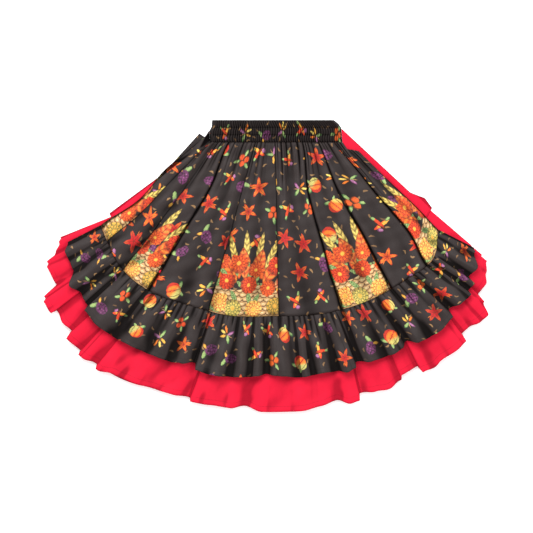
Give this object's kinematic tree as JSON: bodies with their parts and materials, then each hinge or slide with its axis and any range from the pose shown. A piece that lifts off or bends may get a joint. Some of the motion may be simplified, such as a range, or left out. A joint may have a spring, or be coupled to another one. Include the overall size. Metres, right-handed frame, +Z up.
{
  "type": "gored skirt",
  "caption": "Gored skirt with a shirred elastic waistband, a gathered hem ruffle and a longer ruffled underskirt, laid out flat as a fan.",
  "frame": {"origin": "centre of the bounding box, on the floor that the skirt lies on", "axes": "+X towards the skirt's right as it is seen, +Y from the hem towards the waistband, +Z up from the floor"},
  "size_m": [0.9942, 0.655, 0.0422],
  "materials": {
    "print_cloth": "matt",
    "border_print_cloth": "matt",
    "red_cloth": "matt"
  },
  "bodies": {
    "root": {"waistband_front": "print_cloth", "waistband_back": "print_cloth", "front_gore_1_border": "border_print_cloth", "front_gore_2_plain": "print_cloth", "front_gore_3_border": "border_print_cloth", "front_gore_4_plain": "print_cloth", "front_gore_5_border": "border_print_cloth", "front_gore_6_plain": "print_cloth", "front_gore_7_border": "border_print_cloth", "front_gore_8_plain": "print_cloth", "front_gore_9_border": "border_print_cloth", "back_gore_1_plain": "print_cloth", "back_gore_2_border": "border_print_cloth", "back_gore_3_plain": "print_cloth", "back_gore_4_border": "border_print_cloth", "back_gore_5_plain": "print_cloth", "back_gore_6_border": "border_print_cloth", "back_gore_7_plain": "print_cloth", "print_ruffle_front_1": "print_cloth", "print_ruffle_front_2": "print_cloth", "print_ruffle_front_3": "print_cloth", "print_ruffle_back": "print_cloth", "red_panel_front": "red_cloth", "red_panel_back": "red_cloth", "red_ruffle_front_1": "red_cloth", "red_ruffle_front_2": "red_cloth", "red_ruffle_front_3": "red_cloth", "red_ruffle_back": "red_cloth"}
  },
  "joints": []
}
